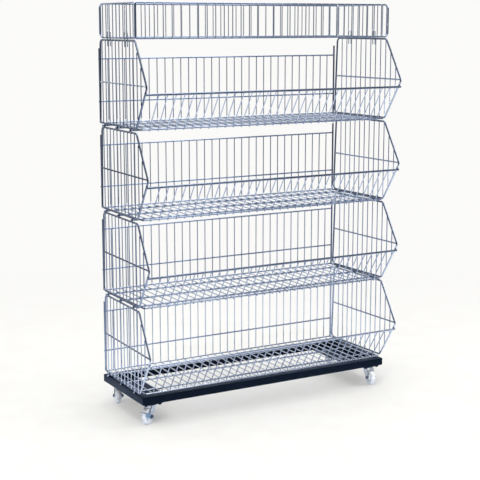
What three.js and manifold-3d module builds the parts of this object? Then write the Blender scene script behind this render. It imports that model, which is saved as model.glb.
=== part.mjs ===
// Stacking wire basket display rack: four chrome baskets and a top guard on a castered steel base.
// Millimetres. X runs to the right, Y to the rear and Z up; the origin is on the floor under the middle.
import * as THREE from "three";
import { mergeVertices } from "three/addons/utils/BufferGeometryUtils.js";
import Module from "manifold-3d";

const wasm = await Module();
wasm.setup();

// Wire stock and the gap left where one piece rests on another
const THICK_WIRE = 6;
const MEDIUM_WIRE = 5;
const CLIP_WIRE = 4;
const THIN_WIRE = 3;
const REST_GAP = 0.3;
const BEND_STEPS = 2;

// Stack
const TIER_COUNT = 4;
const TIER_PITCH = 269;

// Basket back, its posts set in from the middles of the side frames
const BASKET_WIDTH = 885;
const BACK_INSET = 2.5;
const BACK_WIRE_COUNT = 30;
const BACK_TOP_HEIGHT = 207;
const BACK_MID_HEIGHT = 74.5;
const POST_HEIGHT = 240;
const MID_WIRE_OVERHANG = 3;

// Basket sides: reaches are forward of the back wires, heights above the seat
const SIDE_FLARE = 10;
const REAR_LEAN = 11;
const SIDE_REACH = 287.5;
const NOSE_DEPTH = 80.5;
const NOSE_HEIGHT = 134;
const SIDE_BEND = 14;
const SIDE_WIRE_COUNT = 12;
const SIDE_WIRE_PITCH = 26.75;
const SIDE_WIRE_HEIGHT = 137;

// Basket floor and front lip
const RAIL_HEIGHT = 113.5;
const RAIL_OVERHANG = 2;
const SUPPORT_COUNT = 3;
const SUPPORT_FROM_BACK = 44;
const SUPPORT_FROM_FRONT = 41.5;
const SUPPORT_OVERHANG = 6;

// Guard round the top
const GUARD_HEIGHT = 102;
const GUARD_REAR = 15;
const GUARD_FRONT_MARGIN = 6.5;
const GUARD_BEND = 14;
const GUARD_LONG_WIRE_COUNT = 30;
const GUARD_END_WIRE_COUNT = 9;
const CLIP_RISE = 20;
const CLIP_DROP = 26;
const CLIP_BEND = 3;
const CLIP_AFTER_WIRES = [2, 7];

// Base frame of square tube, a little larger than the basket's foot, with a plate across each end
const BASE_SIDE_MARGIN = 7.5;
const BASE_FRONT_MARGIN = 15.5;
const BASE_REAR = 7;
const TUBE = 25;
const TUBE_WALL = 1.5;
const PLATE_WIDTH = 80;
const PLATE_THICKNESS = 3;

// Casters
const CASTER_HEIGHT = 65;
const CASTER_FROM_END = 39;
const CASTER_FROM_FRONT = 28;
const CASTER_TRAIL = 20;
const CASTER_PLATE_LENGTH = 62;
const CASTER_PLATE_WIDTH = 50;
const CASTER_PLATE_CORNER = 5;
const CASTER_PLATE_THICKNESS = 2.5;
const KINGPIN = 8;
const KINGPIN_HEAD = 14;
const KINGPIN_HEAD_THICKNESS = 2.5;
const CROWN = 34;
const CROWN_THICKNESS = 7;
const FORK_THICKNESS = 2.5;
const FORK_TOP_LENGTH = 31;
const FORK_EYE = 18;
const WHEEL = 50;
const WHEEL_WIDTH = 18;
const WHEEL_EDGE = 2.5;
const WHEEL_TAPER = 2;
const WHEEL_HUB = 18;
const WHEEL_SIDE_PLAY = 1.2;
const AXLE = 6;
const AXLE_HEAD = 11;
const AXLE_HEAD_THICKNESS = 4;
const BRAKE_THICKNESS = 2;
const BRAKE_WIDTH = 14;
const BRAKE_RISE = 25;
const BRAKE_TREAD_GAP = 3;
const BRAKE_TAB = 9;
const WHEEL_SIDES = 16;
const CROWN_SIDES = 12;
const PIN_SIDES = 8;

// Where each caster's wheel trails, in degrees about Z from the right, and which one has a brake
const CASTERS = [
  { name: "front_left", across: -1, along: -1, heading: 216, braked: true },
  { name: "front_right", across: 1, along: -1, heading: -98, braked: false },
  { name: "rear_left", across: -1, along: 1, heading: 240, braked: false },
  { name: "rear_right", across: 1, along: 1, heading: 37, braked: false },
];

// Finishes
const chrome = new THREE.MeshStandardMaterial({ color: 0xc4c9d4, roughness: 0.22, metalness: 1 });
const blackCoat = new THREE.MeshStandardMaterial({ color: 0x14171d, roughness: 0.5, metalness: 0.1 });
const zinc = new THREE.MeshStandardMaterial({ color: 0xbcc4ca, roughness: 0.35, metalness: 1 });
const nylon = new THREE.MeshStandardMaterial({ color: 0xe4e8ea, roughness: 0.45, metalness: 0 });
const darkSteel = new THREE.MeshStandardMaterial({ color: 0x3a3d42, roughness: 0.4, metalness: 0.9 });

const alongY = new THREE.Vector3(0, 1, 0);
const alongZ = new THREE.Vector3(0, 0, 1);

// A wire's section is a regular polygon with the area of the round wire. With flats, two of its
// faces are square to the bend plane's normal; with ridges, two of its corners point along it.
function stock(diameter, sides, faces) {
  const step = (2 * Math.PI) / sides;
  const radius = diameter * Math.sqrt(Math.PI / (2 * sides * Math.sin(step)));
  const turn = faces === "flats" ? step / 2 : 0;
  return { radius, flat: radius * Math.cos(step / 2), sides, turn, step };
}

const thickFlats = stock(THICK_WIRE, 6, "flats");
const thickRidges = stock(THICK_WIRE, 6, "ridges");
const mediumFlats = stock(MEDIUM_WIRE, 6, "flats");
const mediumRidges = stock(MEDIUM_WIRE, 6, "ridges");
const clip = stock(CLIP_WIRE, 4, "flats");
const thin = stock(THIN_WIRE, 4, "flats");

// Heights above a basket's seat, from the bottom up
const supportZ = REST_GAP + thickFlats.flat;
const supportTop = supportZ + thickFlats.flat;
const floorZ = supportTop + REST_GAP + thin.flat;
const sideBottomZ = supportTop + REST_GAP + thickFlats.radius;
const sideTopZ = TIER_PITCH - thickFlats.radius;
const backBottomZ = floorZ + mediumRidges.radius + REST_GAP;

// Reaches forward of the back wires, and half widths
const noseReach = SIDE_REACH + NOSE_DEPTH;
const guardFront = SIDE_REACH + GUARD_FRONT_MARGIN;
const backHalf = BASKET_WIDTH / 2 - BACK_INSET;
const baseWidth = BASKET_WIDTH + 2 * BASE_SIDE_MARGIN;
const baseDepth = SIDE_REACH + BASE_FRONT_MARGIN - BASE_REAR;
const baseMiddle = BASE_REAR + baseDepth / 2;
const midWireReach = -(thin.flat + REST_GAP + mediumFlats.flat);
const sideRearReach = thickFlats.flat + REST_GAP + thickFlats.radius;
const sideRearTopReach = sideRearReach + REAR_LEAN;

// The side panels splay outwards from the rear posts to the nose
const splay = Math.atan(SIDE_FLARE / (noseReach - sideRearReach));

// The front lip lies on the lower slant of the side panels, in front of it
const slant = new THREE.Vector2(NOSE_DEPTH, NOSE_HEIGHT - sideBottomZ).normalize();
const slantOut = new THREE.Vector2(slant.y, -slant.x);
const lipOffset = thickFlats.radius + REST_GAP + thickRidges.radius;

// Reach of the lip's middle plane at a height
function lipReach(height) {
  const along = (height - sideBottomZ - lipOffset * slantOut.y) / slant.y;
  return SIDE_REACH + along * slant.x + lipOffset * slantOut.x;
}

// Half the distance between the side panels at a reach
function sideX(reach) {
  return BASKET_WIDTH / 2 + (reach - sideRearReach) * Math.tan(splay);
}

const floorHalf = BASKET_WIDTH / 2 - thickFlats.flat - REST_GAP - mediumRidges.radius;

function solidOf(geometry) {
  const bare = geometry.index ? geometry.toNonIndexed() : geometry.clone();
  bare.deleteAttribute("normal");
  bare.deleteAttribute("uv");
  const merged = mergeVertices(bare, 1e-4);
  const vertProperties = merged.attributes.position.array;
  const triVerts = new Uint32Array(merged.index.array);
  return new wasm.Manifold(new wasm.Mesh({ numProp: 3, vertProperties, triVerts }));
}

function geometryOf(solid) {
  const { vertProperties, triVerts } = solid.getMesh();
  const geometry = new THREE.BufferGeometry();
  geometry.setAttribute("position", new THREE.BufferAttribute(vertProperties, 3));
  geometry.setIndex(new THREE.BufferAttribute(triVerts, 1));
  geometry.computeVertexNormals();
  return geometry;
}

// One welded piece from several geometries
function weld(geometries) {
  return geometryOf(geometries.map(solidOf).reduce((whole, next) => whole.add(next)));
}

function cut(geometry, tools) {
  return geometryOf(tools.map(solidOf).reduce((whole, next) => whole.subtract(next), solidOf(geometry)));
}

// Wire swept along points that lie in one plane, mitred at each point; the normal is square to it.
function wire(points, section, normal, closed = false) {
  const last = points.length - 1;
  const position = [];
  points.forEach((point, i) => {
    const before = points[i > 0 ? i - 1 : closed ? last : 0];
    const after = points[i < last ? i + 1 : closed ? 0 : last];
    const leave = after.clone().sub(point).normalize();
    const arrive = point.clone().sub(before).normalize();
    const tangent = leave.clone().add(arrive).normalize();
    const stretch = 1 / Math.max(tangent.dot(leave), tangent.dot(arrive));
    const side = new THREE.Vector3().crossVectors(tangent, normal).multiplyScalar(stretch);
    for (let j = 0; j < section.sides; j++) {
      const angle = section.turn + j * section.step;
      const corner = point.clone();
      corner.addScaledVector(normal, section.radius * Math.cos(angle));
      corner.addScaledVector(side, section.radius * Math.sin(angle));
      position.push(corner.x, corner.y, corner.z);
    }
  });
  const index = [];
  const corner = (ring, j) => (ring % points.length) * section.sides + (j % section.sides);
  for (let ring = 0; ring < (closed ? points.length : last); ring++) {
    for (let j = 0; j < section.sides; j++) {
      index.push(corner(ring, j), corner(ring, j + 1), corner(ring + 1, j));
      index.push(corner(ring, j + 1), corner(ring + 1, j + 1), corner(ring + 1, j));
    }
  }
  for (let j = 1; !closed && j < section.sides - 1; j++) {
    index.push(corner(0, 0), corner(0, j + 1), corner(0, j));
    index.push(corner(last, 0), corner(last, j), corner(last, j + 1));
  }
  const geometry = new THREE.BufferGeometry();
  geometry.setAttribute("position", new THREE.Float32BufferAttribute(position, 3));
  return geometry.setIndex(index);
}

// Points of a path whose inner corners are bent round; a closed path bends at every corner.
function bent(corners, bend, closed = false) {
  const last = corners.length - 1;
  return corners.flatMap((corner, i) => {
    if (!closed && (i === 0 || i === last)) return [corner];
    const back = corners[i > 0 ? i - 1 : last].clone().sub(corner).normalize();
    const on = corners[i < last ? i + 1 : 0].clone().sub(corner).normalize();
    const tangent = bend / Math.tan(back.angleTo(on) / 2);
    const start = corner.clone().addScaledVector(back, tangent);
    const end = corner.clone().addScaledVector(on, tangent);
    return new THREE.QuadraticBezierCurve3(start, corner, end).getPoints(BEND_STEPS);
  });
}

// Evenly spaced places between two ends, without the ends
function between(start, end, count) {
  return Array.from({ length: count }, (_, i) => start + ((end - start) * (i + 1)) / (count + 1));
}

function mesh(name, geometry, material) {
  const made = new THREE.Mesh(geometry, material);
  made.name = name;
  return made;
}

const point = (x, reach, z) => new THREE.Vector3(x, -reach, z);
const backWireX = between(-backHalf, backHalf, BACK_WIRE_COUNT);

// Back: upright wires under a top wire, a long wire behind them and a post at each end
function backPanel() {
  const long = backHalf + MID_WIRE_OVERHANG;
  const middle = [point(-long, midWireReach, BACK_MID_HEIGHT), point(long, midWireReach, BACK_MID_HEIGHT)];
  const top = [point(-backHalf, 0, BACK_TOP_HEIGHT), point(backHalf, 0, BACK_TOP_HEIGHT)];
  const posts = [-backHalf, backHalf].map((x) =>
    wire([point(x, 0, backBottomZ), point(x, 0, POST_HEIGHT)], thickFlats, alongY),
  );
  const uprights = backWireX.map((x) =>
    wire([point(x, 0, backBottomZ), point(x, 0, BACK_TOP_HEIGHT)], thin, alongY),
  );
  return weld([wire(top, mediumRidges, alongY), wire(middle, mediumFlats, alongY), ...posts, ...uprights]);
}

// Floor: a rectangle of rods filled with thin wires, on thick supports that reach out past the sides
function floorGrid() {
  const front = lipReach(floorZ);
  const long = floorHalf + mediumRidges.flat;
  const bars = [0, front].map((reach) =>
    wire([point(-long, reach, floorZ), point(long, reach, floorZ)], mediumRidges, alongZ),
  );
  const rods = [-floorHalf, floorHalf].map((x) =>
    wire([point(x, 0, floorZ), point(x, front, floorZ)], mediumRidges, alongZ),
  );
  const wireEnd = front - mediumRidges.flat - REST_GAP;
  const wires = backWireX.map((x) => wire([point(x, 0, floorZ), point(x, wireEnd, floorZ)], thin, alongZ));
  const end = BASKET_WIDTH / 2 + SIDE_FLARE + SUPPORT_OVERHANG;
  const pitch = (SIDE_REACH - SUPPORT_FROM_BACK - SUPPORT_FROM_FRONT) / (SUPPORT_COUNT - 1);
  const supports = Array.from({ length: SUPPORT_COUNT }, (_, i) => {
    const reach = SUPPORT_FROM_BACK + i * pitch;
    return wire([point(-end, reach, supportZ), point(end, reach, supportZ)], thickFlats, alongZ);
  });
  return weld([...bars, ...rods, ...supports, ...wires]);
}

// Front lip: slanting wires under a thick rail that crosses in front of the side panels
function frontLip() {
  const lipNormal = new THREE.Vector3(0, -slantOut.x, slantOut.y);
  const railReach = lipReach(RAIL_HEIGHT);
  const half = sideX(railReach) + thickFlats.flat + RAIL_OVERHANG;
  const railEnds = [point(-half, railReach, RAIL_HEIGHT), point(half, railReach, RAIL_HEIGHT)];
  const startZ = floorZ + (mediumRidges.radius + REST_GAP) * slant.y + thin.flat * slant.x;
  const wires = backWireX.map((x) =>
    wire([point(x, lipReach(startZ), startZ), point(x, railReach, RAIL_HEIGHT)], thin, lipNormal),
  );
  return weld([wire(railEnds, thickRidges, lipNormal), ...wires]);
}

// Height of the side frame's lower or upper wire at a reach
function sideBottom(reach) {
  return sideBottomZ + Math.max(0, (reach - SIDE_REACH) * (slant.y / slant.x));
}

function sideTop(reach) {
  const fall = (sideTopZ - NOSE_HEIGHT) / NOSE_DEPTH;
  return sideTopZ - Math.max(0, (reach - SIDE_REACH) * fall);
}

// Outward normal of a side panel, and the bent path of its frame
function sideNormal(side) {
  return new THREE.Vector3(side * Math.cos(splay), Math.sin(splay), 0);
}

function sidePath(side) {
  const corners = [
    [sideRearReach, sideBottomZ],
    [SIDE_REACH, sideBottomZ],
    [noseReach, NOSE_HEIGHT],
    [SIDE_REACH, sideTopZ],
    [sideRearTopReach, sideTopZ],
  ];
  return bent(corners.map(([reach, z]) => point(side * sideX(reach), reach, z)), SIDE_BEND, true);
}

// Side panel: a thick bent frame, upright wires on its outer half and one long wire on its inner half
function sidePanel(side) {
  const normal = sideNormal(side);
  const place = (reach, z, out) => point(side * sideX(reach), reach, z).addScaledVector(normal, out);
  const frame = wire(sidePath(side), thickFlats, normal, true);
  const uprightOut = thickFlats.flat / 2;
  const middle = (sideRearReach + noseReach) / 2;
  const uprights = Array.from({ length: SIDE_WIRE_COUNT }, (_, i) => {
    const reach = middle + (i - (SIDE_WIRE_COUNT - 1) / 2) * SIDE_WIRE_PITCH;
    const ends = [place(reach, sideBottom(reach), uprightOut), place(reach, sideTop(reach), uprightOut)];
    return wire(ends, thin, normal);
  });
  const longOut = uprightOut - thin.flat - REST_GAP - mediumFlats.flat;
  const rise = (SIDE_WIRE_HEIGHT - sideBottomZ) / (sideTopZ - sideBottomZ);
  const noseBack = ((SIDE_WIRE_HEIGHT - NOSE_HEIGHT) * NOSE_DEPTH) / (sideTopZ - NOSE_HEIGHT);
  const longEnds = [
    place(sideRearReach + rise * REAR_LEAN, SIDE_WIRE_HEIGHT, longOut),
    place(noseReach - thickFlats.radius - noseBack, SIDE_WIRE_HEIGHT, longOut),
  ];
  return weld([frame, ...uprights, wire(longEnds, mediumFlats, normal)]);
}

// One basket; the names count the tiers from the floor up
function basket(tier) {
  const group = new THREE.Group();
  group.add(mesh(`tier${tier}_back_panel`, backPanel(), chrome));
  group.add(mesh(`tier${tier}_floor_grid`, floorGrid(), chrome));
  group.add(mesh(`tier${tier}_front_lip`, frontLip(), chrome));
  group.add(mesh(`tier${tier}_left_panel`, sidePanel(-1), chrome));
  group.add(mesh(`tier${tier}_right_panel`, sidePanel(1), chrome));
  return group;
}

// Guard panel: a rounded thick frame with upright wires on its outer half
function guardPanel(start, end, normal, count) {
  const raise = new THREE.Vector3(0, 0, GUARD_HEIGHT);
  const corners = [start, end, end.clone().add(raise), start.clone().add(raise)];
  const frame = wire(bent(corners, GUARD_BEND, true), thickFlats, normal, true);
  const uprights = between(0, 1, count).map((share) => {
    const foot = start.clone().lerp(end, share).addScaledVector(normal, thickFlats.flat / 2);
    return wire([foot, foot.clone().add(raise)], thin, normal);
  });
  return weld([frame, ...uprights]);
}

// Clip: an inverted U that straddles the guard's lower wire and the basket's top wire
function guardClip(foot, normal) {
  const spread = thickFlats.flat + REST_GAP + clip.flat;
  const along = new THREE.Vector3().crossVectors(normal, alongZ);
  const corner = (out, z) => foot.clone().addScaledVector(normal, out).setZ(foot.z + z);
  const corners = [
    corner(-spread, -CLIP_DROP),
    corner(-spread, CLIP_RISE),
    corner(spread, CLIP_RISE),
    corner(spread, -CLIP_DROP),
  ];
  return wire(bent(corners, CLIP_BEND), clip, along);
}

// Guard on top of the highest basket; its end panels follow the splay of the basket's sides
function guard() {
  const group = new THREE.Group();
  const z = REST_GAP + thickFlats.radius;
  const clear = thickFlats.flat + REST_GAP + thickFlats.radius;
  const ends = { rear: GUARD_REAR + clear, front: guardFront - clear };
  for (const [name, reach, facing] of [["front", guardFront, -1], ["rear", GUARD_REAR, 1]]) {
    const x = sideX(reach);
    const normal = new THREE.Vector3(0, facing, 0);
    const panel = guardPanel(point(-x, reach, z), point(x, reach, z), normal, GUARD_LONG_WIRE_COUNT);
    group.add(mesh(`guard_${name}_panel`, panel, chrome));
  }
  for (const [name, side] of [["left", -1], ["right", 1]]) {
    const normal = sideNormal(side);
    const start = point(side * sideX(ends.rear), ends.rear, z);
    const end = point(side * sideX(ends.front), ends.front, z);
    group.add(mesh(`guard_${name}_panel`, guardPanel(start, end, normal, GUARD_END_WIRE_COUNT), chrome));
    CLIP_AFTER_WIRES.forEach((count, i) => {
      const foot = start.clone().lerp(end, (count + 0.5) / (GUARD_END_WIRE_COUNT + 1));
      group.add(mesh(`guard_clip_${name}_${i ? "front" : "rear"}`, guardClip(foot, normal), chrome));
    });
  }
  return group;
}

// Square tube along X, its ends mitred for a frame's corner; the inside of the frame is towards +Y
function mitredTube(length) {
  const outline = (inset, extra) => {
    const shape = new THREE.Shape();
    shape.moveTo(-length / 2 + inset - extra, inset);
    shape.lineTo(length / 2 - inset + extra, inset);
    shape.lineTo(length / 2 - TUBE + inset + extra, TUBE - inset);
    shape.lineTo(-length / 2 + TUBE - inset - extra, TUBE - inset);
    return shape;
  };
  const outer = new THREE.ExtrudeGeometry(outline(0, 0), { depth: TUBE, bevelEnabled: false });
  const bore = new THREE.ExtrudeGeometry(outline(TUBE_WALL, TUBE), {
    depth: TUBE - 2 * TUBE_WALL,
    bevelEnabled: false,
  });
  return cut(outer, [bore.translate(0, 0, TUBE_WALL)]);
}

// Base: four tubes mitred at the corners and a plate across each end, flush with the underside
function baseFrame() {
  const group = new THREE.Group();
  const mitreGap = REST_GAP * Math.SQRT2;
  const sides = [
    { name: "front", length: baseWidth, away: baseDepth / 2, turn: 0 },
    { name: "right", length: baseDepth, away: baseWidth / 2, turn: 90 },
    { name: "rear", length: baseWidth, away: baseDepth / 2, turn: 180 },
    { name: "left", length: baseDepth, away: baseWidth / 2, turn: 270 },
  ];
  for (const { name, length, away, turn } of sides) {
    const rail = mesh(`base_${name}_rail`, mitredTube(length - mitreGap), blackCoat);
    const angle = THREE.MathUtils.degToRad(turn);
    rail.rotation.z = angle;
    rail.position.set(away * Math.sin(angle), -baseMiddle - away * Math.cos(angle), CASTER_HEIGHT);
    group.add(rail);
  }
  for (const [name, side] of [["left", -1], ["right", 1]]) {
    const depth = baseDepth - 2 * TUBE - 2 * REST_GAP;
    const plate = mesh(
      `base_${name}_plate`,
      new THREE.BoxGeometry(PLATE_WIDTH, depth, PLATE_THICKNESS),
      blackCoat,
    );
    const x = baseWidth / 2 - TUBE - REST_GAP - PLATE_WIDTH / 2;
    plate.position.set(side * x, -baseMiddle, CASTER_HEIGHT + PLATE_THICKNESS / 2);
    group.add(plate);
  }
  return group;
}

// Solid turned about Z from [radius, height] corners listed up the outside and down the inside
function turned(corners, sides) {
  const profile = corners.map(([radius, height]) => new THREE.Vector2(radius, height));
  return new THREE.LatheGeometry(profile, sides).rotateX(Math.PI / 2);
}

// Heights of the caster's pieces
const plateBottom = CASTER_HEIGHT - REST_GAP - CASTER_PLATE_THICKNESS;
const crownTop = plateBottom - REST_GAP;
const crownBottom = crownTop - CROWN_THICKNESS;
const pinHeadTop = crownBottom - REST_GAP;
const forkGap = WHEEL_WIDTH / 2 + WHEEL_SIDE_PLAY;
const axleSeat = forkGap + FORK_THICKNESS + REST_GAP;

// Caster top plate with rounded corners, and the kingpin that hangs the fork from it
function casterPlate() {
  const x = CASTER_PLATE_LENGTH / 2;
  const y = CASTER_PLATE_WIDTH / 2;
  const r = CASTER_PLATE_CORNER;
  const shape = new THREE.Shape();
  shape.absarc(x - r, y - r, r, 0, Math.PI / 2);
  shape.absarc(r - x, y - r, r, Math.PI / 2, Math.PI);
  shape.absarc(r - x, r - y, r, Math.PI, Math.PI * 1.5);
  shape.absarc(x - r, r - y, r, Math.PI * 1.5, Math.PI * 2);
  const plate = new THREE.ExtrudeGeometry(shape, {
    depth: CASTER_PLATE_THICKNESS,
    bevelEnabled: false,
    curveSegments: 2,
  });
  const pin = turned(
    [
      [0, pinHeadTop - KINGPIN_HEAD_THICKNESS],
      [KINGPIN_HEAD / 2, pinHeadTop - KINGPIN_HEAD_THICKNESS],
      [KINGPIN_HEAD / 2, pinHeadTop],
      [KINGPIN / 2, pinHeadTop],
      [KINGPIN / 2, plateBottom + CASTER_PLATE_THICKNESS / 2],
      [0, plateBottom + CASTER_PLATE_THICKNESS / 2],
    ],
    PIN_SIDES,
  );
  return weld([plate.translate(0, 0, plateBottom), pin]);
}

// Fork: a crown that turns on the kingpin and two cheeks that carry the axle behind it
function casterFork() {
  const bore = KINGPIN / 2 + 2 * REST_GAP;
  const crown = turned(
    [
      [bore, crownBottom],
      [CROWN / 2, crownBottom],
      [CROWN / 2, crownTop],
      [bore, crownTop],
      [bore, crownBottom],
    ],
    CROWN_SIDES,
  );
  const axleZ = WHEEL / 2;
  const eye = FORK_EYE / 2;
  const cheek = new THREE.Shape();
  const shoulder = (crownTop + crownBottom) / 2;
  cheek.moveTo(-FORK_TOP_LENGTH / 2, shoulder);
  cheek.lineTo(-FORK_TOP_LENGTH / 2, crownBottom - REST_GAP);
  cheek.absarc(CASTER_TRAIL, axleZ, eye, Math.PI * 1.2, Math.PI * 2.08);
  cheek.lineTo(FORK_TOP_LENGTH / 2, shoulder);
  const hole = new THREE.Path();
  hole.absarc(CASTER_TRAIL, axleZ, AXLE / 2 + REST_GAP, 0, Math.PI * 2, true);
  cheek.holes.push(hole);
  const cheeks = [forkGap + FORK_THICKNESS, -forkGap].map((y) => {
    const plate = new THREE.ExtrudeGeometry(cheek, {
      depth: FORK_THICKNESS,
      bevelEnabled: false,
      curveSegments: 4,
    });
    return plate.rotateX(Math.PI / 2).translate(0, y, 0);
  });
  return weld([crown, ...cheeks]);
}

// Wheel: a hub as wide as the fork allows, sides that taper in to the tread, and eased edges
function casterWheel() {
  const bore = AXLE / 2 + REST_GAP;
  const half = WHEEL_WIDTH / 2;
  const corners = [
    [bore, -half],
    [WHEEL_HUB / 2, -half],
    [WHEEL / 2 - WHEEL_EDGE, WHEEL_TAPER - half],
    [WHEEL / 2, WHEEL_TAPER + WHEEL_EDGE - half],
  ];
  const mirrored = corners.map(([radius, along]) => [radius, -along]).reverse();
  return turned([...corners, ...mirrored, corners[0]], WHEEL_SIDES).rotateX(Math.PI / 2);
}

// Axle bolt across the fork, with its head outside one cheek and its nut outside the other
function casterAxle(braked) {
  const nutSeat = axleSeat + (braked ? BRAKE_THICKNESS + REST_GAP : 0);
  const length = axleSeat + nutSeat + AXLE_HEAD_THICKNESS;
  const shank = new THREE.CylinderGeometry(AXLE / 2, AXLE / 2, length, PIN_SIDES);
  const [head, nut] = [-axleSeat - AXLE_HEAD_THICKNESS / 2, nutSeat + AXLE_HEAD_THICKNESS / 2].map((y) => {
    const hexagon = new THREE.CylinderGeometry(AXLE_HEAD / 2, AXLE_HEAD / 2, AXLE_HEAD_THICKNESS, 6);
    return hexagon.translate(0, y, 0);
  });
  return weld([shank.translate(0, (nutSeat - axleSeat) / 2, 0), head, nut]);
}

// Brake lever: an arm that turns on the axle outside one cheek, with a foot tab across the tread
function casterBrake() {
  const tabStart = WHEEL / 2 + BRAKE_TREAD_GAP;
  const reach = tabStart + BRAKE_TAB;
  const half = BRAKE_WIDTH / 2;
  const outline = new THREE.Shape();
  outline.moveTo(reach, -half);
  outline.lineTo(reach, half);
  outline.absarc(0, 0, half, Math.PI / 2, Math.PI * 1.5);
  const hole = new THREE.Path();
  hole.absarc(0, 0, AXLE / 2 + REST_GAP, 0, Math.PI * 2, true);
  outline.holes.push(hole);
  const arm = new THREE.ExtrudeGeometry(outline, {
    depth: BRAKE_THICKNESS,
    bevelEnabled: false,
    curveSegments: 4,
  });
  const inset = BRAKE_THICKNESS / 2;
  const across = axleSeat + inset + forkGap;
  const tab = new THREE.BoxGeometry(BRAKE_TAB - inset, BRAKE_THICKNESS, across);
  tab.translate(tabStart + (BRAKE_TAB - inset) / 2, half - BRAKE_THICKNESS, inset + across / 2);
  const lever = weld([arm, tab]).rotateX(Math.PI / 2).translate(0, axleSeat + BRAKE_THICKNESS, 0);
  return lever.rotateY(-THREE.MathUtils.degToRad(BRAKE_RISE));
}

function caster({ name, across, along, heading, braked }) {
  const group = new THREE.Group();
  const x = across * (baseWidth / 2 - CASTER_FROM_END);
  group.position.set(x, along * (baseDepth / 2 - CASTER_FROM_FRONT) - baseMiddle, 0);
  const swivel = new THREE.Group();
  swivel.rotation.z = THREE.MathUtils.degToRad(heading);
  const hub = new THREE.Group();
  hub.position.set(CASTER_TRAIL, 0, WHEEL / 2);
  hub.add(mesh(`caster_${name}_wheel`, casterWheel(), nylon));
  hub.add(mesh(`caster_${name}_axle`, casterAxle(braked), darkSteel));
  if (braked) hub.add(mesh(`caster_${name}_brake`, casterBrake(), zinc));
  swivel.add(mesh(`caster_${name}_fork`, casterFork(), zinc));
  swivel.add(hub);
  group.add(mesh(`caster_${name}_plate`, casterPlate(), blackCoat));
  group.add(swivel);
  return group;
}

// The whole rack, moved so that the origin lies under the middle of its depth
const rack = new THREE.Group();
const baseTop = CASTER_HEIGHT + TUBE;
rack.add(baseFrame());
CASTERS.forEach((place) => rack.add(caster(place)));
for (let tier = 1; tier <= TIER_COUNT; tier++) {
  const stacked = basket(tier);
  stacked.position.z = baseTop + (tier - 1) * TIER_PITCH;
  rack.add(stacked);
}
const top = guard();
top.position.z = baseTop + TIER_COUNT * TIER_PITCH;
rack.add(top);
const noseTip = Math.max(...sidePath(1).map((place) => -place.y)) + thickFlats.radius;
rack.position.y = (noseTip + midWireReach - mediumFlats.flat) / 2;

const part = new THREE.Group();
part.add(rack);
export default part;
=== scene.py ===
import bpy
import math
import numpy as np
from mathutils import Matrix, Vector


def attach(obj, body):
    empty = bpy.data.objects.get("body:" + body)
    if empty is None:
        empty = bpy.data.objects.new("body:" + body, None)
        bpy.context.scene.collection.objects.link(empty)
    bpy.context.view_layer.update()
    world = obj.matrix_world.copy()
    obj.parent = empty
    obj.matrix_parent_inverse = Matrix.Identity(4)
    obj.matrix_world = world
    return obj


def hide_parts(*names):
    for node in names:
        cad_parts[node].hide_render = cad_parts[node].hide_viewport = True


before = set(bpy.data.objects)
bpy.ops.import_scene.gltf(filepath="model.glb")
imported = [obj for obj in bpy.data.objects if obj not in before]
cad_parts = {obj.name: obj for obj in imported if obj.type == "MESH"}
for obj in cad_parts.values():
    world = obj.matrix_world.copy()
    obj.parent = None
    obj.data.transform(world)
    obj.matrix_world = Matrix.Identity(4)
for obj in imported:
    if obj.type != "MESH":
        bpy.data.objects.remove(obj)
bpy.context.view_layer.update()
print("frame loaded")

# Sizes are in millimetres and become metres when a piece is made.
# x runs to the right, reach runs forward of the back wires, z is up.
backPlane = 181.2814
baseTop, tierPitch, tierCount = 90.0, 269.0, 4
seats = {f"tier{n + 1}": baseTop + tierPitch * n for n in range(tierCount)}
topSeat = baseTop + tierPitch * tierCount
alongX, alongY, alongZ = np.eye(3)
hands = (("left", -1), ("right", 1))


def at(x, reach, z):
    x, reach, z = np.broadcast_arrays(np.asarray(x, float), np.asarray(reach, float), np.asarray(z, float))
    return np.stack([x, backPlane - reach, z], -1)


def unit(v):
    v = np.asarray(v, float)
    return v / np.linalg.norm(v, axis=-1, keepdims=True)


# A shape is (points, quads, triangles, tone of each point), and a piece is made of a list of shapes.
# Above 0 a tone is darker: welds, tread dirt, and painted shade on wires and in wheel dishes;
# below 0 it is paler, a painted highlight on wires.
noTris = np.zeros((0, 3), int)


def joined(shapes):
    starts = np.cumsum([0] + [len(s[0]) for s in shapes[:-1]])
    points = np.concatenate([s[0] for s in shapes])
    quads = np.concatenate([s[1] + k for s, k in zip(shapes, starts)])
    tris = np.concatenate([s[2] + k for s, k in zip(shapes, starts)])
    return points, quads, tris, np.concatenate([s[3] for s in shapes])


# The same shape at every offset: point(i, k) = point(k) + offset(i)
def repeated(shape, offsets):
    points, quads, tris, tones = shape
    offsets = np.asarray(offsets, float)
    steps = np.arange(len(offsets))[:, None, None] * len(points)
    return (
        (points[None] + offsets[:, None]).reshape(-1, 3),
        (quads[None] + steps).reshape(-1, 4),
        (tris[None] + steps).reshape(-1, 3),
        np.tile(tones, len(offsets)),
    )


# Quads of a grid of rings, each ring closed on itself; the last ring joins the first where closed
def ringQuads(rings, sides, closed=False):
    i, j = np.meshgrid(np.arange(rings if closed else rings - 1), np.arange(sides), indexing="ij")
    a, b = i * sides + j, i * sides + (j + 1) % sides
    c, d = ((i + 1) % rings) * sides + (j + 1) % sides, ((i + 1) % rings) * sides + j
    return np.stack([a, b, c, d], -1).reshape(-1, 4)


# Rings closed by a pole point at each end
def poledRings(rings, first, last, tone=0.0):
    count, sides = rings.shape[:2]
    points = np.concatenate([rings.reshape(-1, 3), [first, last]])
    j = np.arange(sides)
    k = (j + 1) % sides
    a, b = np.full(sides, count * sides), np.full(sides, count * sides + 1)
    end = (count - 1) * sides
    tris = np.concatenate([np.stack([a, k, j], -1), np.stack([b, end + j, end + k], -1)])
    return points, ringQuads(count, sides), tris, np.full(len(points), tone)


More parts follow.
